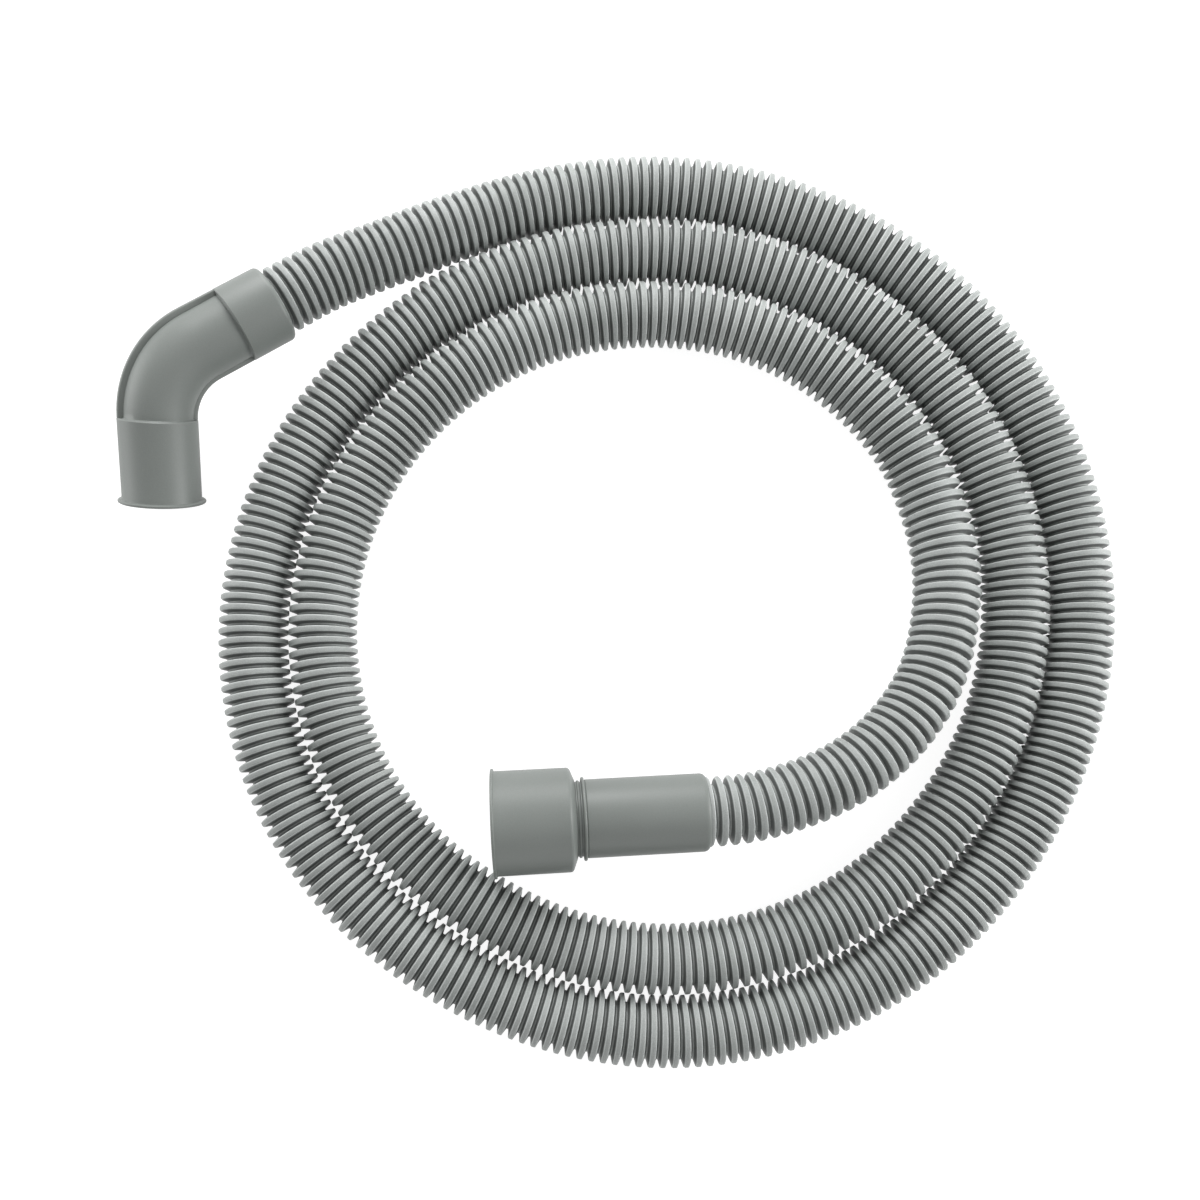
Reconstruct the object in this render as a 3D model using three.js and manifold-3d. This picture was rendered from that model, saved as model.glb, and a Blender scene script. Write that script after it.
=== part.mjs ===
// A corrugated dishwasher drain hose, lying coiled as it would on a bench. One end carries a
// moulded elbow cuff, the other a straight stepped cuff that opens into a larger socket.
// Millimetres, +Z up. The origin is on the floor, in the middle of the part's footprint.
import * as THREE from "three";
import { mergeVertices } from "three/addons/utils/BufferGeometryUtils.js";
import Module from "manifold-3d";

const wasm = await Module();
wasm.setup();

// The hose. Its outline is the plain tube that its ribs touch.
const HOSE_OD = 22;
const HOSE_BORE = 16;
const HOSE_SIDES = 12;

// The coil: a flat spiral that winds inwards, clockwise seen from above. Angles are in
// degrees, clockwise from +X, and grow along the hose.
const COIL_CENTRE = [12.26, -5.45];
const COIL_RADIUS = 147.3;
const TURN_GAP = 1;
const OVAL = 1.7;
const OVAL_ANGLE = -28.5;
const COIL_START = -90;
const COIL_END = 690;
const COIL_STEP = 15;

// How far the hose lies outside the smooth spiral, every 30 degrees from its start to its end.
const SWAY = [
  0, 0, 0, -0.5, -0.4, 1.2, 0.6, -0.8, 0.6, 0.6, -0.2, -0.4, -0.4,
  0, 0.2, -0.2, -0.2, 0.2, 0, -1.2, -0.2, 0.2, 0, -0.2, -0.4, 0, 0.2,
];

// The loose ends, as points set back from the coil's start or on from its end: the distance
// along the hose's direction there, the distance towards the coil's inside, and the share of
// the end's rise off the floor. The last point of each is the mouth of its cuff.
const LEAD_POINTS = [
  [21.5, 1.9, 0.02], [37, 5.2, 0.07], [52.5, 10.1, 0.15], [67.6, 16.2, 0.26],
  [82.3, 23, 0.39], [97, 30.7, 0.55], [113.4, 39.5, 0.77], [129.6, 50.8, 1],
];
const TAIL_POINTS = [
  [10, 1.1, 0.01], [25.5, 4.7, 0.08], [41.1, 11.4, 0.19], [54.9, 21, 0.33],
  [66.8, 32.9, 0.48], [75.4, 47.4, 0.62], [80.5, 63.4, 0.75], [82, 80, 0.85],
  [80.2, 96.6, 0.92], [76.2, 112.4, 0.97], [71.1, 124.6, 1],
];
const STUB = 4;

// How each cuff lies: the heading and slope of its hose axis, from the cuff towards the hose,
// in degrees from +X and down from level. The elbow's free leg also rolls down to the floor.
const ELBOW_HEADING = 35;
const ELBOW_SLOPE = 8.5;
const ELBOW_ROLL = 34.4;
const CUFF_HEADING = 3;
const CUFF_SLOPE = 0.8;
const REST_GAP = 0.7;

// What both cuffs share: the seat that grips the hose and the bore behind it.
const SEAT_CLEARANCE = 0.3;
const SHOULDER_GAP = 0.5;
const WATER_BORE = 17.5;
const CUFF_SIDES = 40;

// The elbow cuff.
const ELBOW_BEND = 60;
const ELBOW_RADIUS = 28.3;
const ELBOW_NECK = 13;
const ELBOW_SLEEVE_OD = 25.4;
const ELBOW_SLEEVE = 16.2;
const ELBOW_SLEEVE_ROUND = 0.6;
const ELBOW_SEAT = 13.5;
const ELBOW_LEG_OD = 25.4;
const ELBOW_LEG = 27.8;
const ELBOW_LEG_BORE = 22.4;
const ELBOW_LEG_DEPTH = 24;
const ELBOW_LIP_OD = 28.2;
const ELBOW_LIP = 0.9;
const BEND_RECESS = 1.7;
const BEND_SHIFT = 0.4;
const BEND_STEPS = 10;
const FIN = 2;

// The straight cuff, measured along its axis from the mouth that takes the hose.
const SLEEVE_OD = 25.7;
const SLEEVE = 39.8;
const SLEEVE_ROUND = 0.8;
const SLEEVE_SEAT = 34;
const BEAD_OD = 27.3;
const BEAD = 1.2;
const NECK_OD = 25.3;
const NECK = 1.9;
const CONE = 1.9;
const SOCKET_OD = 34.1;
const SOCKET_BORE = 29.6;
const SOCKET = 24.6;
const SOCKET_DEPTH = 22;
const FLANGE_OD = 35.8;
const FLANGE = 0.9;

const UP = new THREE.Vector3(0, 0, 1);
const radians = THREE.MathUtils.degToRad;

const hoseRadius = HOSE_OD / 2;
const seatRadius = hoseRadius / Math.cos(Math.PI / HOSE_SIDES) + SEAT_CLEARANCE;
const turnPitch = HOSE_OD + TURN_GAP;

const sway = new THREE.SplineCurve(SWAY.map((outwards, place) => new THREE.Vector2(place, outwards)));

// A point of the coil's centreline, at an angle that may run over several turns.
function coilPoint(angle) {
  const share = THREE.MathUtils.clamp((angle - COIL_START) / (COIL_END - COIL_START), 0, 1);
  const radius = COIL_RADIUS - turnPitch * (angle / 360) + sway.getPoint(share).y
    + OVAL * Math.cos(radians(2 * (angle - OVAL_ANGLE)));
  return new THREE.Vector3(
    COIL_CENTRE[0] + radius * Math.cos(radians(angle)),
    COIL_CENTRE[1] - radius * Math.sin(radians(angle)),
    hoseRadius,
  );
}

// The direction in which the hose runs through a point of the coil.
function coilDirection(angle) {
  return coilPoint(angle + 0.1).sub(coilPoint(angle - 0.1)).normalize();
}

// Turns a list of loose points into places, from one end of the coil.
function loosePoints(list, angle, sense, rise) {
  const along = coilDirection(angle);
  const inward = new THREE.Vector3().crossVectors(along, UP);
  return list.map(([distance, aside, share]) => coilPoint(angle)
    .addScaledVector(along, sense * distance)
    .addScaledVector(inward, aside)
    .addScaledVector(UP, share * rise));
}

// A unit vector from its heading and its slope below level.
function aim(heading, slope) {
  return new THREE.Vector3(
    Math.cos(radians(slope)) * Math.cos(radians(heading)),
    Math.cos(radians(slope)) * Math.sin(radians(heading)),
    -Math.sin(radians(slope)),
  );
}

// A line of straight stretches for a section to follow, with its section kept upright and
// mitred where two stretches meet.
class Route extends THREE.Curve {
  constructor(points) {
    super();
    this.points = points;
  }

  getPoint(t) {
    const last = this.points.length - 1;
    const index = Math.min(Math.floor(t * last + 1e-6), last - 1);
    return this.points[index].clone().lerp(this.points[index + 1], t * last - index);
  }

  getPointAt(t) {
    return this.getPoint(t);
  }

  getTangent(t) {
    const last = this.points.length - 1;
    const index = Math.round(t * last);
    const tangent = new THREE.Vector3();
    for (const start of [index - 1, index]) {
      if (start < 0 || start >= last) continue;
      tangent.add(this.points[start + 1].clone().sub(this.points[start]).normalize());
    }
    return tangent.normalize();
  }

  computeFrenetFrames(segments) {
    const frames = { tangents: [], normals: [], binormals: [] };
    for (let step = 0; step <= segments; step += 1) {
      const tangent = this.getTangent(step / segments);
      const normal = new THREE.Vector3().crossVectors(tangent, UP).normalize();
      frames.tangents.push(tangent);
      frames.normals.push(normal);
      frames.binormals.push(new THREE.Vector3().crossVectors(tangent, normal));
    }
    return frames;
  }
}

// A regular polygon whose flat sides touch a circle, with flats at its sides and its foot.
function flatPolygon(radius, sides, Outline) {
  const corners = [];
  for (let side = 0; side < sides; side += 1) {
    const angle = (2 * Math.PI * (side + 0.5)) / sides;
    const corner = radius / Math.cos(Math.PI / sides);
    corners.push(new THREE.Vector2(corner * Math.cos(angle), corner * Math.sin(angle)));
  }
  return new Outline(corners);
}

// A tube or rod that follows a list of points.
function sweep(points, outer, bore, sides) {
  const section = flatPolygon(outer, sides, THREE.Shape);
  if (bore) section.holes.push(flatPolygon(bore, sides, THREE.Path));
  return new THREE.ExtrudeGeometry(section, {
    steps: points.length - 1, bevelEnabled: false, extrudePath: new Route(points),
  });
}

// A turned body about the X axis, from a list of places along the axis and radii.
function turned(profile) {
  const points = profile.map(([along, radius]) => new THREE.Vector2(radius, along));
  return new THREE.LatheGeometry(points, CUFF_SIDES).rotateZ(-Math.PI / 2);
}

// Points of a quarter round between a face and a wall, for a turned profile.
function quarterRound(along, radius, round, sense, steps = 4) {
  const points = [];
  for (let step = 0; step <= steps; step += 1) {
    const angle = (Math.PI / 2) * (step / steps);
    points.push([
      along + sense * round * (1 - Math.sin(angle)),
      radius - round * (1 - Math.cos(angle)),
    ]);
  }
  return points;
}

function toSolid(geometry) {
  const bare = geometry.clone();
  bare.deleteAttribute("normal");
  bare.deleteAttribute("uv");
  const merged = mergeVertices(bare, 1e-4);
  return new wasm.Manifold(new wasm.Mesh({
    numProp: 3,
    vertProperties: new Float32Array(merged.attributes.position.array),
    triVerts: new Uint32Array(merged.index.array),
  }));
}

function toGeometry(solid) {
  const mesh = solid.getMesh();
  const geometry = new THREE.BufferGeometry();
  geometry.setAttribute("position", new THREE.BufferAttribute(mesh.vertProperties, 3));
  geometry.setIndex(new THREE.BufferAttribute(mesh.triVerts, 1));
  geometry.computeVertexNormals();
  return geometry;
}

// The elbow, in its own frame: the hose comes in along +X to the mouth at the origin, and the
// free leg turns away towards -Y.
const bendStart = -(ELBOW_SLEEVE + ELBOW_NECK);
const bendAngle = radians(ELBOW_BEND);
const legDirection = new THREE.Vector3(-Math.cos(bendAngle), -Math.sin(bendAngle), 0);
const legStart = new THREE.Vector3(
  bendStart - ELBOW_RADIUS * Math.sin(bendAngle),
  -ELBOW_RADIUS * (1 - Math.cos(bendAngle)),
  0,
);
const legEnd = legStart.clone().addScaledVector(legDirection, ELBOW_LEG);

// The elbow's centreline through the bend, set over towards its inside and run on at both
// ends by a little more.
function bendPoints(shift, before, after) {
  const points = [new THREE.Vector3(-ELBOW_SLEEVE + before, -shift, 0)];
  const radius = ELBOW_RADIUS - shift;
  for (let step = 0; step <= BEND_STEPS; step += 1) {
    const angle = (bendAngle * step) / BEND_STEPS;
    points.push(new THREE.Vector3(
      bendStart - radius * Math.sin(angle),
      -ELBOW_RADIUS + radius * Math.cos(angle),
      0,
    ));
  }
  points.push(points[points.length - 1].clone().addScaledVector(legDirection, after));
  return points;
}

// Places a turned body's X axis on the elbow's free leg, from the leg's start to its mouth.
function onLeg(geometry) {
  return geometry.rotateZ(Math.PI + bendAngle).translate(legStart.x, legStart.y, 0);
}

function elbowCuff() {
  const sleeveRadius = ELBOW_SLEEVE_OD / 2;
  const legRadius = ELBOW_LEG_OD / 2;
  const waterRadius = WATER_BORE / 2;
  const overrun = 1;
  const sleeve = turned([
    [-ELBOW_SLEEVE, 0],
    [-ELBOW_SLEEVE, sleeveRadius],
    ...quarterRound(0, sleeveRadius, ELBOW_SLEEVE_ROUND, -1).reverse(),
    [0, 0],
  ]);
  const leg = onLeg(turned([
    [0, 0],
    [0, legRadius],
    [ELBOW_LEG - 2 * ELBOW_LIP, legRadius],
    [ELBOW_LEG - ELBOW_LIP, ELBOW_LIP_OD / 2],
    [ELBOW_LEG, ELBOW_LIP_OD / 2],
    [ELBOW_LEG, 0],
  ]));
  const bend = sweep(bendPoints(BEND_SHIFT, overrun, overrun), legRadius - BEND_RECESS, 0, CUFF_SIDES);

  // The flat fin in the middle plane, flush with the sleeve and the leg.
  const outline = new THREE.Shape();
  outline.moveTo(-ELBOW_SLEEVE + overrun, -sleeveRadius);
  outline.lineTo(-ELBOW_SLEEVE + overrun, sleeveRadius);
  outline.absarc(bendStart, -ELBOW_RADIUS, ELBOW_RADIUS + sleeveRadius,
    Math.PI / 2, Math.PI / 2 + bendAngle, false);
  outline.absarc(bendStart, -ELBOW_RADIUS, ELBOW_RADIUS - sleeveRadius,
    Math.PI / 2 + bendAngle, Math.PI / 2, true);
  const fin = new THREE.ExtrudeGeometry(outline, { depth: FIN, bevelEnabled: false, curveSegments: 14 })
    .translate(0, 0, -FIN / 2);

  const seat = turned([
    [-ELBOW_SEAT - SHOULDER_GAP, 0],
    [-ELBOW_SEAT - SHOULDER_GAP, seatRadius],
    [overrun, seatRadius],
    [overrun, 0],
  ]);
  const water = sweep(bendPoints(0, overrun + ELBOW_SLEEVE - ELBOW_SEAT, ELBOW_LEG - ELBOW_LEG_DEPTH + overrun),
    waterRadius, 0, CUFF_SIDES / 2);
  const socket = onLeg(turned([
    [ELBOW_LEG - ELBOW_LEG_DEPTH, 0],
    [ELBOW_LEG - ELBOW_LEG_DEPTH, ELBOW_LEG_BORE / 2],
    [ELBOW_LEG + overrun, ELBOW_LEG_BORE / 2],
    [ELBOW_LEG + overrun, 0],
  ]));

  let solid = toSolid(sleeve);
  for (const piece of [leg, bend, fin]) solid = solid.add(toSolid(piece));
  for (const piece of [seat, water, socket]) solid = solid.subtract(toSolid(piece));
  return toGeometry(solid);
}

// The straight cuff, in its own frame: the hose comes in along +X to the mouth at the origin,
// and the socket opens towards -X.
function straightCuff() {
  const waterRadius = WATER_BORE / 2;
  const beadEnd = SLEEVE + BEAD;
  const neckEnd = beadEnd + NECK;
  const coneEnd = neckEnd + CONE;
  const length = coneEnd + SOCKET + FLANGE;
  const socketFloor = length - SOCKET_DEPTH;
  const throat = socketFloor - (SOCKET_BORE / 2 - waterRadius) / 2;
  const profile = [
    [length, SOCKET_BORE / 2],
    [length, FLANGE_OD / 2],
    [length - FLANGE, FLANGE_OD / 2],
    [length - 2 * FLANGE, SOCKET_OD / 2],
    [coneEnd, SOCKET_OD / 2],
    [neckEnd, NECK_OD / 2],
    [beadEnd, NECK_OD / 2],
    [beadEnd, BEAD_OD / 2],
    [SLEEVE, BEAD_OD / 2],
    [SLEEVE, SLEEVE_OD / 2],
    ...quarterRound(0, SLEEVE_OD / 2, SLEEVE_ROUND, 1).reverse(),
    [0, seatRadius],
    [SLEEVE_SEAT + SHOULDER_GAP, seatRadius],
    [SLEEVE_SEAT + SHOULDER_GAP, waterRadius],
    [throat, waterRadius],
    [socketFloor, SOCKET_BORE / 2],
    [length, SOCKET_BORE / 2],
  ];
  return turned(profile.map(([along, radius]) => [-along, radius]));
}

// The elbow's attitude, and the rise that puts its lip on the floor.
const elbowHose = aim(ELBOW_HEADING, ELBOW_SLOPE);
const elbowTurn = new THREE.Quaternion().setFromRotationMatrix(new THREE.Matrix4().makeBasis(
  elbowHose,
  new THREE.Vector3().crossVectors(UP, elbowHose).normalize(),
  new THREE.Vector3().crossVectors(elbowHose, new THREE.Vector3().crossVectors(UP, elbowHose)).normalize(),
)).multiply(new THREE.Quaternion().setFromAxisAngle(new THREE.Vector3(1, 0, 0), radians(ELBOW_ROLL)));
const legAim = legDirection.clone().applyQuaternion(elbowTurn);
const lipDrop = (ELBOW_LIP_OD / 2) * Math.sqrt(1 - legAim.z ** 2) - legEnd.clone().applyQuaternion(elbowTurn).z;
const elbowRise = lipDrop - hoseRadius;

// The straight cuff's attitude, and the rise at which its socket lies just clear of the floor
// and of the turn that it leans over.
const cuffHose = aim(CUFF_HEADING, CUFF_SLOPE);
const cuffAside = new THREE.Vector3().crossVectors(UP, cuffHose).normalize();
const cuffTop = new THREE.Vector3().crossVectors(cuffHose, cuffAside);
const cuffTurn = new THREE.Quaternion().setFromRotationMatrix(
  new THREE.Matrix4().makeBasis(cuffHose, cuffAside, cuffTop),
);
const cuffLength = SLEEVE + BEAD + NECK + CONE + SOCKET + FLANGE;

function gapUnderCuff(rise) {
  const mouth = loosePoints(TAIL_POINTS, COIL_END, 1, rise).pop();
  const rims = [
    [cuffLength, FLANGE_OD / 2], [cuffLength - FLANGE, FLANGE_OD / 2],
    [cuffLength - FLANGE - SOCKET, SOCKET_OD / 2],
  ];
  const stretch = new THREE.Line3();
  const nearest = new THREE.Vector3();
  let gap = Infinity;
  for (const [along, radius] of rims) {
    for (let side = 0; side < CUFF_SIDES; side += 1) {
      const around = (2 * Math.PI * side) / CUFF_SIDES;
      const point = mouth.clone()
        .addScaledVector(cuffHose, -along)
        .addScaledVector(cuffAside, radius * Math.cos(around))
        .addScaledVector(cuffTop, radius * Math.sin(around));
      for (let angle = COIL_START; angle < COIL_END; angle += COIL_STEP) {
        stretch.set(coilPoint(angle), coilPoint(angle + COIL_STEP));
        stretch.closestPointToPoint(point, true, nearest);
        gap = Math.min(gap, nearest.distanceTo(point) - hoseRadius);
      }
    }
  }
  return gap;
}

function restingRise() {
  let low = FLANGE_OD / 2 + REST_GAP - hoseRadius - cuffLength * Math.sin(radians(CUFF_SLOPE));
  let high = low + HOSE_OD + FLANGE_OD;
  if (gapUnderCuff(low) >= REST_GAP) return low;
  while (high - low > 0.01) {
    const middle = (low + high) / 2;
    if (gapUnderCuff(middle) >= REST_GAP) high = middle;
    else low = middle;
  }
  return high;
}

const lead = loosePoints(LEAD_POINTS, COIL_START, -1, elbowRise).reverse();
const tail = loosePoints(TAIL_POINTS, COIL_END, 1, restingRise());
const elbowMouth = lead[0];
const cuffMouth = tail[tail.length - 1];

// The whole centreline, from its seat in the elbow to its seat in the straight cuff.
function hoseRoute() {
  const route = [
    elbowMouth.clone().addScaledVector(elbowHose, -ELBOW_SEAT),
    elbowMouth.clone().addScaledVector(elbowHose, STUB),
    ...lead.slice(1),
  ];
  for (let angle = COIL_START; angle <= COIL_END; angle += COIL_STEP) route.push(coilPoint(angle));
  route.push(
    ...tail.slice(0, -1),
    cuffMouth.clone().addScaledVector(cuffHose, STUB),
    cuffMouth.clone().addScaledVector(cuffHose, -SLEEVE_SEAT),
  );
  return route;
}

function node(name, geometry, color, roughness) {
  const material = new THREE.MeshStandardMaterial({ color, roughness, metalness: 0 });
  const mesh = new THREE.Mesh(geometry, material);
  mesh.name = name;
  return mesh;
}

const hose = node("corrugated_hose", sweep(hoseRoute(), hoseRadius, HOSE_BORE / 2, HOSE_SIDES), 0xa4aaa5, 0.6);

const elbow = node("elbow_cuff", elbowCuff(), 0x868d87, 0.45);
elbow.position.copy(elbowMouth);
elbow.quaternion.copy(elbowTurn);

const cuff = node("straight_cuff", straightCuff(), 0x868d87, 0.45);
cuff.position.copy(cuffMouth);
cuff.quaternion.copy(cuffTurn);

const drainHose = new THREE.Group();
drainHose.add(hose, elbow, cuff);

export default drainHose;
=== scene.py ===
"""The corrugated drain hose in its coil, with its elbow cuff and its straight stepped cuff.

Sizes are in millimetres and angles in degrees. Meshes, camera and lamps are in metres, and all
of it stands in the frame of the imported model, with its origin on the floor and +Z up.
"""
import math

import bpy
import numpy as np
from mathutils import Euler, Matrix, Vector


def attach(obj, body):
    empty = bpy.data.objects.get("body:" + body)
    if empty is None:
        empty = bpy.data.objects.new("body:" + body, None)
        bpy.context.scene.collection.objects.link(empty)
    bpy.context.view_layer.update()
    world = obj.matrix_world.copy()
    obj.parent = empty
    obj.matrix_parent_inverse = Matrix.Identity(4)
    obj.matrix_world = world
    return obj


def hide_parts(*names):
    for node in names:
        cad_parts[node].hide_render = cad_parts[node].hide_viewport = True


MM = 0.001
UP = np.array([0.0, 0.0, 1.0])

# The hose. The solid model has the plain tube that its ribs touch.
HOSE_OD = 22.0
HOSE_RADIUS = HOSE_OD / 2
HOSE_WALL = 0.8
HOSE_SIDES = 20
BORE_STEP = 14.0

# Its ribs. Half a rib is a list of places across the pitch, from the middle of a groove to the
# middle of the crest, with their depths below the tip.
RIB_PITCH = 3.65
RIB_DEPTH = 2.6
GROOVE_RADIUS = HOSE_RADIUS - RIB_DEPTH
HALF_RIB = [(0.095, RIB_DEPTH), (0.225, 0.65), (0.270, 0.20), (0.350, 0.00)]
RIB = HALF_RIB + [(1 - across, depth) for across, depth in reversed(HALF_RIB)]

# How much wider than the pitch the ribs stand, at angles of the coil: they sit closer where it
# bends tightly, and open out on the way to the straight cuff. The tail's own spacing is reached
# a little past the coil's end.
RIB_SPACING = [(-60, 1.0), (0, 1.0), (20, 0.97), (45, 0.97), (70, 1.0), (660, 1.0), (690, 1.08)]
TAIL_SPACING = 1.11
TAIL_OPENING = 40

# At the hose's level sides the ribs reach farther out, by a share of the radius. Towards a turn
# that lies close they reach as far as it takes to meet its ribs, up to the most. A turn is close
# where half the space to it is under a share of the radius, and a stretch of the hose is another
# turn when it is far enough off along the hose.
SIDE_REACH = 0.045
MOST_SIDE_REACH = 0.105
CLOSE_TURN = 0.15
OTHER_TURN = 200

# There the crests also narrow, by a share of the pitch; what lies less deep than a crest's depth
# belongs to it. A high power of the cosine keeps both to the sides.
SIDE_TAPER = 0.17
CREST_DEPTH = 1.0
SIDE_POWER = 8

# The coil: a flat spiral, clockwise seen from above, with angles clockwise from +X.
COIL_CENTRE = (12.26, -5.45)
COIL_RADIUS = 147.3
TURN_GAP = 1.0
TURN_PITCH = HOSE_OD + TURN_GAP
OVAL = 1.7
OVAL_ANGLE = -28.5
COIL_START = -90
COIL_END = 690
COIL_STEP = 15

# How many points of the centreline count the ribs, look for the next turn and describe the cord.
COUNT_POINTS = 4000
SEARCH_POINTS = 1500
CORD_POINTS = 500

# How far the hose lies outside the smooth spiral, every 30 degrees from its start to its end.
SWAY = [
    0, 0, 0, -0.5, -0.4, 1.2, 0.6, -0.8, 0.6, 0.6, -0.2, -0.4, -0.4,
    0, 0.2, -0.2, -0.2, 0.2, 0, -1.2, -0.2, 0.2, 0, -0.2, -0.4, 0, 0.2,
]

# The loose ends, set back from the coil's start or on from its end: the distance along, the
# distance inwards and the share of the end's rise. The last point is the mouth of the cuff.
LEAD_POINTS = [
    (21.5, 1.9, 0.02), (37, 5.2, 0.07), (52.5, 10.1, 0.15), (67.6, 16.2, 0.26),
    (82.3, 23, 0.39), (97, 30.7, 0.55), (113.4, 39.5, 0.77), (129.6, 50.8, 1),
]
TAIL_POINTS = [
    (10, 1.1, 0.01), (25.5, 4.7, 0.08), (41.1, 11.4, 0.19), (54.9, 21, 0.33),
    (66.8, 32.9, 0.48), (75.4, 47.4, 0.62), (80.5, 63.4, 0.75), (82, 80, 0.85),
    (80.2, 96.6, 0.92), (76.2, 112.4, 0.97), (71.1, 124.6, 1),
]
ELBOW_RISE = 13.226
CUFF_RISE = 8.912

# How each cuff lies: the heading and the slope of its hose axis, and the elbow's roll about it.
ELBOW_HEADING = 35
ELBOW_SLOPE = 8.5
ELBOW_ROLL = 34.4
CUFF_HEADING = 3
CUFF_SLOPE = 0.8

# What both cuffs share: the seat for the hose, the water's bore behind it, the softened edges of
# their mouths and the number of steps in the round of the sleeve's rim.
SEAT_CLEARANCE = 0.3
SEAT_RADIUS = HOSE_RADIUS + SEAT_CLEARANCE
SHOULDER_GAP = 0.5
WATER_RADIUS = 8.75
MOUTH_EDGE = 0.3
LEAD_IN_LENGTH = 0.4
LEAD_IN_DEPTH = 0.35
ROUND_STEPS = 6

# The elbow cuff, from the mouth that takes the hose to the lip of its leg. The bend lies lower
# than the sleeve and the leg, and is set over towards its inside. The fin's width is from its
# middle plane to one face.
ELBOW_SLEEVE = 16.2
ELBOW_SLEEVE_RADIUS = 12.7
ELBOW_SLEEVE_ROUND = (1.7, 1.5)
ELBOW_SEAT = 13.5
ELBOW_NECK = 13.0
ELBOW_BEND = 60
ELBOW_RADIUS = 28.3
ELBOW_LEG = 27.8
ELBOW_LEG_RADIUS = 12.7
ELBOW_LEG_BORE_RADIUS = 11.2
ELBOW_LEG_DEPTH = 24.0
ELBOW_LIP_RADIUS = 14.1
BEND_SECTION_RADIUS = 11.0
BEND_SHIFT = 0.4
BEND_STEPS = 30
BEND_FILLET = 0.25
STEP_EDGE_LENGTH = 0.3
STEP_EDGE_DROP = 0.28
FIN_HALF = 1.4
FIN_ROUND = 0.65
FIN_INSET = 0.1
ELBOW_ARC_STEPS = 26
ELBOW_BORE_STEPS = 20
ELBOW_CREASE = 36

# The straight cuff, from the mouth that takes the hose to the flange of its socket.
SLEEVE = 39.8
SLEEVE_RADIUS = 12.85
SLEEVE_ROUND = (1.8, 1.1)
SLEEVE_SEAT = 34.0
BEAD = 1.2
BEAD_RADIUS = 13.65
NECK = 1.9
NECK_RADIUS = 12.65
NECK_GROOVE = 0.5
CONE = 1.9
SOCKET = 24.6
SOCKET_RADIUS = 17.05
SOCKET_BORE_RADIUS = 14.8
SOCKET_DEPTH = 22.0
SOCKET_RUN_OUT = 3.0
FLANGE = 0.9
FLANGE_RADIUS = 17.9
CUFF_SIDES = 112
CUFF_CREASE = 28

# The colour sockets of a Mix node, which share their names with its other sockets.
MIX_A = 6
MIX_B = 7
MIX_RESULT = 2

# The camera of the photograph: its focal length in the photograph's pixels, its place, and how
# it tilts up from straight down and leans to its side.
PHOTO_PIXELS = 1200
FOCAL_PIXELS = 1056.2
SENSOR_WIDTH = 36
LENS_SHIFT = (0.0124, 0.0569)
CAMERA_PLACE = (-0.02412, -0.06266, 0.3699)
CAMERA_TILT = 5.8437
CAMERA_LEAN = -1.8288

# The floor, white to the camera apart from the shadow on it, and the light of the room. The first
# level lights the surfaces; the second is what the camera sees.
FLOOR_HALF = 6.0
FLOOR_DROP = 0.0002
FLOOR_WHITE = 0.8
SHADOW_WHITE = 0.3
FLOOR_GLOW = 0.92
ROOM_LIGHT = 0.42
ROOM_SEEN = 1.0

# The lamps: the place, the diameter and the power in watts. Each one faces the origin.
LAMPS = {
    "lamp_back": ((-0.1, 0.66, 0.36), 0.45, 5.4),
    "lamp_left": ((-0.64, 0.16, 0.15), 0.4, 1.5),
    "lamp_right": ((0.62, 0.05, 0.24), 0.4, 3.5),
    "lamp_front": ((0.0, -0.66, 0.14), 0.4, 0.5),
}


def unit(v):
    """The unit vector of v."""
    return v / np.linalg.norm(v)


def sway(angle):
    """The way off the spiral, by a smooth curve through the values of SWAY."""
    place = (angle - COIL_START) / (COIL_END - COIL_START) * (len(SWAY) - 1)
    place = min(max(place, 0), len(SWAY) - 1)
    i = min(int(place), len(SWAY) - 2)
    t = place - i
    before, here, after, beyond = (SWAY[min(max(k, 0), len(SWAY) - 1)] for k in range(i - 1, i + 3))
    out, into = (after - before) / 2, (beyond - here) / 2
    return (
        (2 * here - 2 * after + out + into) * t**3
        + (3 * after - 3 * here - 2 * out - into) * t * t
        + out * t
        + here
    )


def coil_point(angle):
    """A point of the coil's centreline, at an angle that may run over several turns."""
    radius = (
        COIL_RADIUS
        - TURN_PITCH * angle / 360
        + sway(angle)
        + OVAL * math.cos(math.radians(2 * (angle - OVAL_ANGLE)))
    )
    a = math.radians(angle)
    return np.array([
        COIL_CENTRE[0] + radius * math.cos(a),
        COIL_CENTRE[1] - radius * math.sin(a),
        HOSE_RADIUS,
    ])


def loose_points(points, angle, sense, rise):
    """Turns a list of loose points into places, from one end of the coil."""
    little = 0.1
    along = unit(coil_point(angle + little) - coil_point(angle - little))
    inward = np.cross(along, UP)
    start = coil_point(angle)
    return [start + sense * d * along + aside * inward + share * rise * UP for d, aside, share in points]


def aim(heading, slope):
    """A unit vector from its heading and its slope below level."""
    h, s = math.radians(heading), math.radians(slope)
    return np.array([math.cos(s) * math.cos(h), math.cos(s) * math.sin(h), -math.sin(s)])


def attitude(axis, roll=0.0):
    """Columns: the axis, the level direction to its left, and the third; rolled about the axis."""
    aside = unit(np.cross(UP, axis))
    basis = np.stack([axis, aside, np.cross(axis, aside)], axis=1)
    c, s = math.cos(math.radians(roll)), math.sin(math.radians(roll))
    return basis @ np.array([[1, 0, 0], [0, c, -s], [0, s, c]])


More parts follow.
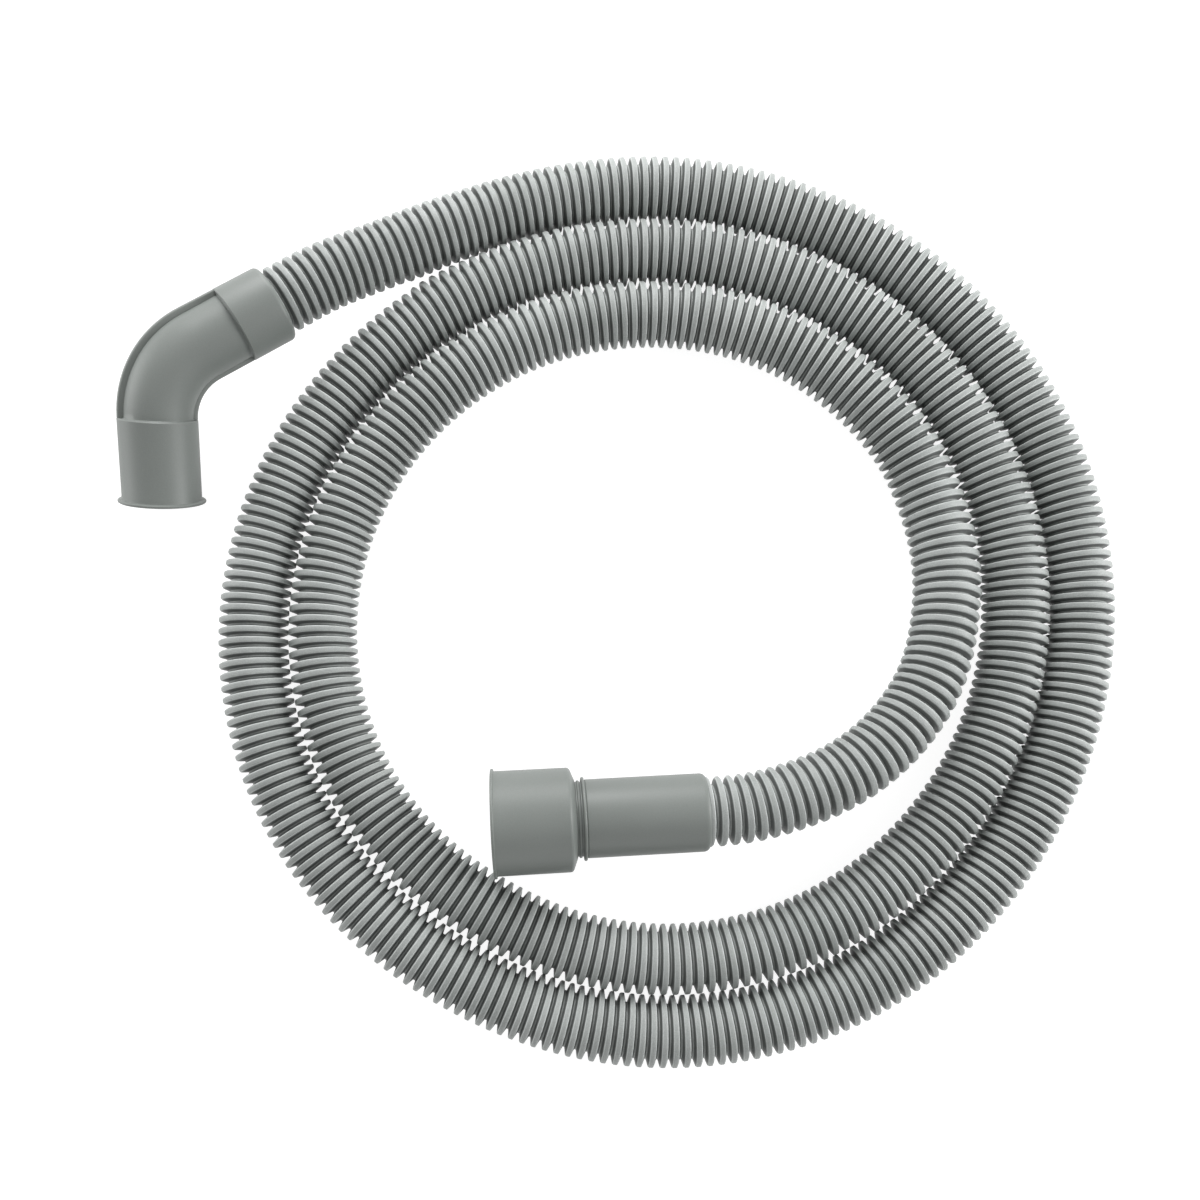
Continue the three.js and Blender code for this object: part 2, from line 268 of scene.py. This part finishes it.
class Spline:
    """A smooth line through points, by a natural cubic spline over the distance between them."""

    FINE_STEPS = 8000

    def __init__(self, points):
        self.p = np.array(points)
        gaps = np.linalg.norm(np.diff(self.p, axis=0), axis=1)
        self.t = np.concatenate([[0], np.cumsum(gaps)])
        n = len(self.p)
        system, right = np.zeros((n, n)), np.zeros((n, 3))
        system[0, 0] = system[-1, -1] = 1
        for i in range(1, n - 1):
            before, after = gaps[i - 1], gaps[i]
            system[i, i - 1 : i + 2] = before, 2 * (before + after), after
            right[i] = 6 * (
                (self.p[i + 1] - self.p[i]) / after - (self.p[i] - self.p[i - 1]) / before
            )
        self.m = np.linalg.solve(system, right)
        self.fine = np.linspace(0, self.t[-1], self.FINE_STEPS)
        steps = np.linalg.norm(np.diff(self.at(self.fine), axis=0), axis=1)
        self.run = np.concatenate([[0], np.cumsum(steps)])
        self.length = self.run[-1]

    def at(self, t):
        i = np.clip(np.searchsorted(self.t, t, side="right") - 1, 0, len(self.p) - 2)
        h = (self.t[i + 1] - self.t[i])[:, None]
        a = (self.t[i + 1] - t)[:, None] / h
        b = 1 - a
        bend = ((a**3 - a) * self.m[i] + (b**3 - b) * self.m[i + 1]) * h * h / 6
        return a * self.p[i] + b * self.p[i + 1] + bend

    def along(self, distance):
        return self.at(np.interp(distance, self.run, self.fine))

    def frames(self, distance, reach=0.5):
        """The centres, directions, level inward sides and tops at distances along the line."""
        centre = self.along(distance)
        ahead = self.along(np.minimum(distance + reach, self.length))
        behind = self.along(np.maximum(distance - reach, 0))
        tangent = (ahead - behind) / np.linalg.norm(ahead - behind, axis=1)[:, None]
        side = np.cross(tangent, UP)
        side /= np.linalg.norm(side, axis=1)[:, None]
        return centre, tangent, side, np.cross(side, tangent)


class Graph:
    """The nodes of a material or a world."""

    def __init__(self, owner):
        owner.use_nodes = True
        self.nodes = owner.node_tree.nodes
        self.links = owner.node_tree.links

    def feed(self, node, socket, value):
        """Gives an input a value, or links it to the output of another node."""
        if isinstance(value, bpy.types.NodeSocket):
            self.links.new(value, node.inputs[socket])
        else:
            node.inputs[socket].default_value = value

    def add(self, kind, inputs=None, **settings):
        """Adds a node of a kind, with its inputs by socket and its settings by name."""
        node = self.nodes.new("ShaderNode" + kind)
        for name, setting in settings.items():
            setattr(node, name, setting)
        for socket, value in (inputs or {}).items():
            self.feed(node, socket, value)
        return node

    def work_out(self, operation, *values):
        """The outcome of one sum."""
        return self.add("Math", dict(enumerate(values)), operation=operation).outputs[0]

    def noise(self, place, scale, detail, roughness):
        inputs = {"Vector": place, "Scale": scale, "Detail": detail, "Roughness": roughness}
        return self.add("TexNoise", inputs).outputs["Fac"]

    def ramp(self, factor, stops):
        """Colours over a factor, from stops that are a place and a colour."""
        node = self.add("ValToRGB", {"Fac": factor})
        elements = node.color_ramp.elements
        while len(elements) < len(stops):
            elements.new(0.5)
        for element, (place, colour) in zip(elements, stops):
            element.position = place
            element.color = (*colour, 1)
        return node.outputs["Color"]

    def seen_directly(self):
        """One for what the camera, a mirror or a clear body sees, and zero for the light of a
        surface."""
        path = self.add("LightPath")
        seen = path.outputs["Is Camera Ray"]
        for kind in ("Is Transmission Ray", "Is Glossy Ray"):
            seen = self.work_out("MAXIMUM", seen, path.outputs[kind])
        return seen


def plastic(name, light, dark, roughness, grain, grain_depth, patch, specular, painted_rib_light=None):
    """Moulded plastic: slow patches of tone, a fine grain in tone and relief, and uneven gloss. The
    painted rib light, when given, is factors across half a rib, from the middle of a groove to the
    middle of the crest, that multiply the colour with painted shade and painted highlight."""
    material = bpy.data.materials.new(name)
    graph = Graph(material)
    shader = graph.nodes["Principled BSDF"]
    place = graph.add("TexCoord").outputs["Object"]
    patches = graph.noise(place, patch, detail=3, roughness=0.55)
    fine = graph.noise(place, grain, detail=2, roughness=0.6)
    fine_share = 0.45
    slow = graph.work_out("MULTIPLY", patches, 1 - fine_share)
    both = graph.work_out("MULTIPLY_ADD", fine, fine_share, slow)
    colour = graph.ramp(both, [(0.38, dark), (0.62, light)])
    # Painted shade and painted highlight across each rib, multiplied into the colour.
    if painted_rib_light:
        across_rib = graph.add("Attribute", attribute_name="across_rib").outputs["Fac"]
        across_half = graph.work_out("MULTIPLY", graph.work_out("PINGPONG", across_rib, 0.5), 2)
        rib_shade_and_highlight = graph.ramp(across_half, [(at, (tone, tone, tone)) for at, tone in painted_rib_light])
        inputs = {"Factor": 1, MIX_A: colour, MIX_B: rib_shade_and_highlight}
        mix = graph.add("Mix", inputs, data_type="RGBA", blend_type="MULTIPLY")
        colour = mix.outputs[MIX_RESULT]
    gloss = graph.add(
        "MapRange", {"Value": patches, "To Min": roughness - 0.06, "To Max": roughness + 0.08}
    )
    relief = graph.add("Bump", {"Strength": 1.0, "Distance": grain_depth, "Height": fine})
    graph.feed(shader, "Base Color", colour)
    graph.feed(shader, "Roughness", gloss.outputs["Result"])
    graph.feed(shader, "Normal", relief.outputs["Normal"])
    shader.inputs["Specular IOR Level"].default_value = specular
    return material


def make_hose_plastic():
    """The hose's plastic, with painted shade on the groove walls and painted highlights along both edges
    of each crest.
    """
    return plastic(
        "hose_plastic",
        light=(0.455, 0.478, 0.468),
        dark=(0.325, 0.345, 0.335),
        roughness=0.5,
        grain=2300,
        grain_depth=0.00005,
        patch=30,
        specular=0.35,
        # Painted light across half a rib: painted shade on the groove walls and painted highlights on
        # the crests' edges.
        painted_rib_light=[
            (0, 0.9), (0.12, 0.85), (0.2, 0.35), (0.42, 0.35),
            (0.49, 1.1), (0.57, 1.4), (0.66, 0.86), (1, 0.8),
        ],
    )


def make_cuff_rubber():
    return plastic(
        "cuff_rubber",
        light=(0.188, 0.204, 0.193),
        dark=(0.164, 0.179, 0.169),
        roughness=0.48,
        grain=3000,
        grain_depth=0.00001,
        patch=22,
        specular=0.48,
    )


def new_mesh(name, vertices, faces, material):
    mesh = bpy.data.meshes.new(name)
    mesh.from_pydata(vertices, [], faces)
    mesh.validate()
    mesh.polygons.foreach_set("use_smooth", [True] * len(mesh.polygons))
    mesh.materials.append(material)
    piece = bpy.data.objects.new(name, mesh)
    bpy.context.collection.objects.link(piece)
    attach(piece, "root")
    return piece


def ring_faces(rings, sides):
    """Quads between rings that follow each other, the last one joined to the first."""
    faces = []
    for r in range(rings):
        low, high = r * sides, ((r + 1) % rings) * sides
        for s in range(sides):
            t = (s + 1) % sides
            faces.append((low + s, high + s, high + t, low + t))
    return faces


def hose_route(lead, tail):
    """The hose's centreline: its seat in the elbow, lead, coil, tail and seat in the cuff."""
    elbow_axis, cuff_axis = aim(ELBOW_HEADING, ELBOW_SLOPE), aim(CUFF_HEADING, CUFF_SLOPE)
    stops = [lead[0] - ELBOW_SEAT * share * elbow_axis for share in (1, 0.5)]
    stops += lead
    stops += [coil_point(angle) for angle in range(COIL_START, COIL_END + 1, COIL_STEP)]
    stops += tail
    stops += [tail[-1] - SLEEVE_SEAT * share * cuff_axis for share in (0.33, 0.67, 1)]
    return Spline(stops)


def rib_bounds(route):
    """The distances along the route of the middles of the grooves."""
    along = np.linspace(0, route.length, COUNT_POINTS)
    spots = route.along(along)
    stops, widths = [0.0], [1.0]
    for angle, width in RIB_SPACING:
        stops.append(along[np.argmin(np.linalg.norm(spots - coil_point(angle), axis=1))])
        widths.append(width)
    stops += [stops[-1] + TAIL_OPENING, route.length]
    widths += [TAIL_SPACING, TAIL_SPACING]
    density = 1 / (RIB_PITCH * np.interp(along, stops, widths))
    steps = (density[1:] + density[:-1]) / 2 * np.diff(along)
    count = np.concatenate([[0], np.cumsum(steps)])
    ribs = round(count[-1])
    return np.interp(np.arange(ribs + 1), count * ribs / count[-1], along)


def side_reach(route, places, centre, side):
    """How much farther the ribs reach at their inward and at their outward side, as shares of the
    radius, at places along the route."""
    along = np.linspace(0, route.length, SEARCH_POINTS)
    way = route.along(along)[None, :, :] - centre[:, None, :]
    far = np.linalg.norm(way, axis=2)
    far[np.abs(places[:, None] - along[None, :]) < OTHER_TURN] = np.inf
    inward = np.einsum("ijk,ik->ij", way, side) > 0
    reach = []
    for chosen in (inward, ~inward):
        nearest = np.where(chosen, far, np.inf).min(axis=1)
        share = (nearest / 2 - HOSE_RADIUS) / HOSE_RADIUS
        meeting = np.clip(share, SIDE_REACH, MOST_SIDE_REACH)
        reach.append(np.where(share < CLOSE_TURN, meeting, SIDE_REACH))
    return reach


def hose_outline(route):
    """The outline over all ribs and back through the bore: the distances along the route, the
    radii, the places counted in ribs, and how far the crests' edges draw in at the sides."""
    bounds = rib_bounds(route)
    ribs = len(bounds) - 1
    rows = [(0.0, GROOVE_RADIUS, 0.0, 0.0)]
    for rib in range(ribs):
        pitch = bounds[rib + 1] - bounds[rib]
        for across, depth in RIB:
            drawn_in = SIDE_TAPER * (0.5 - across) * pitch if depth < CREST_DEPTH else 0.0
            rows.append((bounds[rib] + across * pitch, HOSE_RADIUS - depth, rib + across, drawn_in))
    rows.append((route.length, GROOVE_RADIUS, ribs, 0.0))
    mid_rib = 0.5
    for place in np.linspace(route.length, 0, round(route.length / BORE_STEP) + 1):
        rows.append((place, GROOVE_RADIUS - HOSE_WALL, mid_rib, 0.0))
    return np.array(rows).T


def outline_normals(places, radii, longest=1.2):
    """The parts along the hose and outwards of the normals of a closed outline. Each point takes
    the mean of its two stretches, and a stretch counts by its length up to the longest, so that
    flat tips and steep walls shade crisply."""
    line = np.stack([places, radii], axis=1)
    steps = np.roll(line, -1, axis=0) - line
    lengths = np.maximum(np.linalg.norm(steps, axis=1), 1e-9)
    square = np.stack([-steps[:, 1], steps[:, 0]], axis=1) / lengths[:, None]
    weighted = square * np.minimum(lengths, longest)[:, None]
    normals = weighted + np.roll(weighted, 1, axis=0)
    return (normals / np.linalg.norm(normals, axis=1)[:, None]).T


def make_hose(route, material):
    places, radii, rib_places, drawn_in = hose_outline(route)
    centre, tangent, side, top = route.frames(places)
    around = 2 * np.pi * np.arange(HOSE_SIDES) / HOSE_SIDES
    beside = np.cos(around) ** SIDE_POWER
    inward, outward = side_reach(route, places, centre, side)
    reach = np.where(np.cos(around) > 0, inward[:, None], outward[:, None])
    spoke = (
        (np.cos(around) * (1 + reach * beside))[:, :, None] * side[:, None, :]
        + np.sin(around)[None, :, None] * top[:, None, :]
    )
    shift = drawn_in[:, None] * beside[None, :]
    points = (
        centre[:, None, :]
        + radii[:, None, None] * spoke
        + shift[:, :, None] * tangent[:, None, :]
    )
    faces = ring_faces(len(places), HOSE_SIDES)
    hose = new_mesh("hose", (points.reshape(-1, 3) * MM).tolist(), faces, material)

    lengthwise, outwards = outline_normals(places, radii)
    normals = outwards[:, None, None] * spoke + lengthwise[:, None, None] * tangent[:, None, :]
    normals = normals.reshape(-1, 3)
    normals /= np.linalg.norm(normals, axis=1)[:, None]
    hose.data.normals_split_custom_set_from_vertices(normals.tolist())
    across_rib = hose.data.attributes.new("across_rib", "FLOAT", "POINT")
    across_rib.data.foreach_set("value", np.repeat(rib_places, HOSE_SIDES).astype(np.float32))
    return hose


def rounded(radius, length, height):
    """Points of a quarter round from an end face at 0 to a wall at the radius."""
    points = []
    for step in range(ROUND_STEPS, -1, -1):
        a = math.pi / 2 * step / ROUND_STEPS
        points.append((length * (1 - math.sin(a)), radius - height * (1 - math.cos(a))))
    return points


def placed(points, basis, origin):
    """Points of a cuff's own frame as metres in the part's frame."""
    return ((points @ basis.T + origin) * MM).tolist()


def cuff_profile():
    """The straight cuff's closed outline, as (distance from the hose's mouth, radius) pairs."""
    neck = SLEEVE + BEAD
    cone = neck + NECK
    socket = cone + CONE
    flange = socket + SOCKET
    end = flange + FLANGE
    groove = NECK_RADIUS - NECK_GROOVE
    sleeve = rounded(SLEEVE_RADIUS, *SLEEVE_ROUND) + [
        (SLEEVE - 0.3, SLEEVE_RADIUS),
        (SLEEVE, SLEEVE_RADIUS - 0.2),
    ]
    bead = [
        (SLEEVE + 0.2, BEAD_RADIUS - 0.15),
        (SLEEVE + 0.45, BEAD_RADIUS),
        (SLEEVE + 0.85, BEAD_RADIUS),
        (SLEEVE + 1.1, BEAD_RADIUS - 0.2),
    ]
    collar_between_grooves = [
        (neck + 0.05, groove + 0.05),
        (neck + 0.45, groove),
        (neck + 0.65, NECK_RADIUS - 0.08),
        (neck + 0.9, NECK_RADIUS),
        (neck + 1.2, NECK_RADIUS),
        (neck + 1.4, NECK_RADIUS - 0.1),
        (neck + 1.55, groove),
        (neck + 1.95, groove),
    ]
    cone_and_socket = [
        (cone + 0.15, NECK_RADIUS + 0.15),
        (socket - 0.4, SOCKET_RADIUS - 0.8),
        (socket - 0.1, SOCKET_RADIUS - 0.4),
        (socket + 0.25, SOCKET_RADIUS - 0.13),
        (socket + 0.7, SOCKET_RADIUS - 0.03),
        (flange - 0.4, SOCKET_RADIUS + 0.02),
        (flange - 0.1, SOCKET_RADIUS + 0.12),
    ]
    flange_rim = [
        (flange + 0.02, FLANGE_RADIUS - 0.2),
        (flange + 0.2, FLANGE_RADIUS),
        (end - 0.3, FLANGE_RADIUS),
        (end - 0.05, FLANGE_RADIUS - 0.15),
        (end, FLANGE_RADIUS - 0.35),
    ]
    inside = [
        (end, SOCKET_BORE_RADIUS + LEAD_IN_DEPTH),
        (end - LEAD_IN_LENGTH, SOCKET_BORE_RADIUS),
        (end - SOCKET_DEPTH, SOCKET_BORE_RADIUS),
        (end - SOCKET_DEPTH - SOCKET_RUN_OUT, WATER_RADIUS),
        (SLEEVE_SEAT + SHOULDER_GAP, WATER_RADIUS),
        (SLEEVE_SEAT + SHOULDER_GAP, SEAT_RADIUS),
        (MOUTH_EDGE, SEAT_RADIUS),
    ]
    return sleeve + bead + collar_between_grooves + cone_and_socket + flange_rim + inside


def make_straight_cuff(mouth, material):
    """The straight cuff, turned about the hose's axis, with its socket towards -X."""
    profile = cuff_profile()
    around = 2 * np.pi * np.arange(CUFF_SIDES) / CUFF_SIDES
    rings = []
    for along, radius in profile:
        place = np.full(CUFF_SIDES, -along)
        rings.append(np.stack([place, radius * np.cos(around), radius * np.sin(around)], axis=1))
    lie = attitude(aim(CUFF_HEADING, CUFF_SLOPE))
    points = placed(np.concatenate(rings), lie, mouth)
    faces = ring_faces(len(profile), CUFF_SIDES)
    cuff = new_mesh("straight_stepped_cuff", points, faces, material)
    cuff.data.set_sharp_from_angle(angle=math.radians(CUFF_CREASE))
    return cuff


def elbow_station(along):
    """The centre and the outward side of the elbow's centreline, in its own frame: the hose comes
    in along +X to the mouth at the origin, and the leg turns away towards -Y."""
    straight = ELBOW_SLEEVE + ELBOW_NECK
    bend = math.radians(ELBOW_BEND)
    a = min(max((along - straight) / ELBOW_RADIUS, 0), bend)
    centre = np.array([
        -min(along, straight) - ELBOW_RADIUS * math.sin(a), -ELBOW_RADIUS * (1 - math.cos(a)), 0,
    ])
    beyond = max(along - straight - ELBOW_RADIUS * bend, 0)
    centre += beyond * np.array([-math.cos(a), -math.sin(a), 0])
    return centre, np.array([-math.sin(a), math.cos(a), 0])


def elbow_outline(radius, reach, shift):
    """The elbow's section, as (outward, across) pairs: a circle, set over by the shift, with a fin
    on its outer and on its inner side. The fin's corners are rounded. Where its reach is within
    the circle, its points lie on the circle."""
    if reach <= radius:
        start = FIN_HALF / radius + 0.03
        angles = [FIN_HALF * share / radius for share in (0, 0.4, 0.6, 0.8, 1)]
        fin = [(radius * math.cos(a), radius * math.sin(a)) for a in angles]
    else:
        start = math.asin(FIN_HALF / radius)
        fin = [(reach, 0.0)]
        for a in (0, math.pi / 6, math.pi / 3, math.pi / 2):
            out = reach - FIN_ROUND * (1 - math.cos(a))
            fin.append((out, FIN_HALF - FIN_ROUND * (1 - math.sin(a))))
    upper = list(fin)
    for step in range(ELBOW_ARC_STEPS + 1):
        a = start + (math.pi - 2 * start) * step / ELBOW_ARC_STEPS
        upper.append((radius * math.cos(a) - shift, radius * math.sin(a)))
    upper += [(-out, across) for out, across in reversed(fin)]
    return upper + [(out, -across) for out, across in upper[-2:0:-1]]


def elbow_ring(along, radius, reach=0, shift=0):
    centre, outward = elbow_station(along)
    outline = elbow_outline(radius, reach, shift)
    return np.array([centre + out * outward + across * UP for out, across in outline])


def elbow_stations():
    """The elbow's sections, over its outside and back through its bore: the distance along, the
    radius and, in the bend, the fin's reach and the shift."""
    bend = ELBOW_SLEEVE
    leg = ELBOW_SLEEVE + ELBOW_NECK + ELBOW_RADIUS * math.radians(ELBOW_BEND)
    end = leg + ELBOW_LEG
    first_reach, last_reach = ELBOW_SLEEVE_RADIUS - FIN_INSET, ELBOW_LEG_RADIUS - FIN_INSET
    fillet_radius = BEND_SECTION_RADIUS + BEND_FILLET
    sleeve = rounded(ELBOW_SLEEVE_RADIUS, *ELBOW_SLEEVE_ROUND) + [
        (bend - STEP_EDGE_LENGTH, ELBOW_SLEEVE_RADIUS),
        (bend, ELBOW_SLEEVE_RADIUS - STEP_EDGE_DROP),
    ]
    bent = [(bend, fillet_radius, first_reach, BEND_SHIFT / 2)]
    first, last = bend + BEND_FILLET, leg - BEND_FILLET
    for step in range(BEND_STEPS + 1):
        share = step / BEND_STEPS
        reach = first_reach + (last_reach - first_reach) * share
        shift = BEND_SHIFT * (0.5 + 0.5 * math.sin(math.pi * share))
        bent.append((first + (last - first) * share, BEND_SECTION_RADIUS, reach, shift))
    bent.append((leg, fillet_radius, last_reach, BEND_SHIFT / 2))
    free_leg = [
        (leg, ELBOW_LEG_RADIUS - STEP_EDGE_DROP),
        (leg + STEP_EDGE_LENGTH, ELBOW_LEG_RADIUS),
        (end - 1.6, ELBOW_LEG_RADIUS + 0.08),
        (end - 1.15, ELBOW_LEG_RADIUS + 0.22),
    ]
    lip = [
        (end - 0.95, ELBOW_LIP_RADIUS - 0.3),
        (end - 0.75, ELBOW_LIP_RADIUS - 0.04),
        (end - 0.5, ELBOW_LIP_RADIUS),
        (end - 0.2, ELBOW_LIP_RADIUS - 0.06),
        (end, ELBOW_LIP_RADIUS - 0.35),
    ]
    shoulder = end - ELBOW_LEG_DEPTH
    inside = [
        (end, ELBOW_LEG_BORE_RADIUS + LEAD_IN_DEPTH),
        (end - LEAD_IN_LENGTH, ELBOW_LEG_BORE_RADIUS),
        (shoulder, ELBOW_LEG_BORE_RADIUS),
    ]
    seat_end = ELBOW_SEAT + SHOULDER_GAP
    for step in range(ELBOW_BORE_STEPS + 1):
        inside.append((shoulder - step / ELBOW_BORE_STEPS * (shoulder - seat_end), WATER_RADIUS))
    inside += [(seat_end, SEAT_RADIUS), (MOUTH_EDGE, SEAT_RADIUS)]
    return sleeve + bent + free_leg + lip + inside


def make_elbow_cuff(mouth, material):
    rings = [elbow_ring(*station) for station in elbow_stations()]
    lie = attitude(aim(ELBOW_HEADING, ELBOW_SLOPE), ELBOW_ROLL)
    points = placed(np.concatenate(rings), lie, mouth)
    faces = ring_faces(len(rings), len(rings[0]))
    cuff = new_mesh("bent_elbow_cuff", points, faces, material)
    cuff.data.set_sharp_from_angle(angle=math.radians(ELBOW_CREASE))
    return cuff


def make_camera():
    """The camera, above and a little in front of the coil, close enough for the photograph's
    perspective and shifted as its framing needs."""
    data = bpy.data.cameras.new("camera")
    data.sensor_width = SENSOR_WIDTH
    data.lens = FOCAL_PIXELS / PHOTO_PIXELS * SENSOR_WIDTH
    data.shift_x, data.shift_y = LENS_SHIFT
    data.clip_start = 0.01
    data.clip_end = 20
    camera = bpy.data.objects.new("camera", data)
    bpy.context.collection.objects.link(camera)
    turn = Euler((math.radians(CAMERA_TILT), math.radians(CAMERA_LEAN), 0))
    camera.matrix_world = Matrix.LocRotScale(Vector(CAMERA_PLACE), turn, None)
    bpy.context.scene.camera = camera


def make_floor():
    mesh = bpy.data.meshes.new("floor")
    half = FLOOR_HALF
    corners = [(-half, -half, 0), (half, -half, 0), (half, half, 0), (-half, half, 0)]
    mesh.from_pydata(corners, [], [(0, 1, 2, 3)])
    floor = bpy.data.objects.new("floor", mesh)
    floor.location.z = -FLOOR_DROP
    bpy.context.collection.objects.link(floor)

    material = bpy.data.materials.new("floor_white")
    graph = Graph(material)
    graph.nodes.remove(graph.nodes["Principled BSDF"])
    plain = graph.add("BsdfDiffuse", {"Color": (FLOOR_WHITE, FLOOR_WHITE, FLOOR_WHITE, 1)})
    shadow = graph.add("BsdfDiffuse", {"Color": (SHADOW_WHITE, SHADOW_WHITE, SHADOW_WHITE, 1)})
    glow = graph.add("Emission", {"Strength": FLOOR_GLOW})
    seen = graph.add("AddShader", {0: shadow.outputs[0], 1: glow.outputs[0]})
    inputs = {"Fac": graph.seen_directly(), 1: plain.outputs[0], 2: seen.outputs[0]}
    pick = graph.add("MixShader", inputs)
    graph.feed(graph.nodes["Material Output"], "Surface", pick.outputs[0])
    mesh.materials.append(material)


def make_world():
    world = bpy.data.worlds.new("studio")
    graph = Graph(world)
    bpy.context.scene.world = world
    inputs = {"Value": graph.seen_directly(), "To Min": ROOM_LIGHT, "To Max": ROOM_SEEN}
    level = graph.add("MapRange", inputs)
    background = graph.nodes["Background"]
    graph.feed(background, "Strength", level.outputs["Result"])
    graph.feed(background, "Color", (1, 1, 1, 1))


def make_lamp(name, place, size, power):
    data = bpy.data.lights.new(name, "AREA")
    data.shape = "DISK"
    data.size = size
    data.energy = power
    lamp = bpy.data.objects.new(name, data)
    lamp.location = place
    lamp.rotation_euler = (-Vector(place)).to_track_quat("-Z", "Y").to_euler()
    bpy.context.collection.objects.link(lamp)


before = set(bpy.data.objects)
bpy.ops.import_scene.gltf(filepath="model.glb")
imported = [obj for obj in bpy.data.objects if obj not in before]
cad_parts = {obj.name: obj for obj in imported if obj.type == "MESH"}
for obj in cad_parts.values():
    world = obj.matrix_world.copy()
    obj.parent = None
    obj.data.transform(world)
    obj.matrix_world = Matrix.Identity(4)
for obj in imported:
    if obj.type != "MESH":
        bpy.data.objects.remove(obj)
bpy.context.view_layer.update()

lead = loose_points(LEAD_POINTS, COIL_START, -1, ELBOW_RISE)[::-1]
tail = loose_points(TAIL_POINTS, COIL_END, 1, CUFF_RISE)
route = hose_route(lead, tail)

hose_plastic = make_hose_plastic()
cuff_rubber = make_cuff_rubber()
hose = make_hose(route, hose_plastic)
straight = make_straight_cuff(tail[-1], cuff_rubber)
elbow = make_elbow_cuff(lead[0], cuff_rubber)
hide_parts("corrugated_hose")
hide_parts("straight_cuff")
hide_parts("elbow_cuff")

spots = route.along(np.linspace(0, route.length, CORD_POINTS))

make_camera()
make_floor()
make_world()
for name, (place, size, power) in LAMPS.items():
    make_lamp(name, place, size, power)
bpy.context.scene.view_settings.view_transform = "Standard"
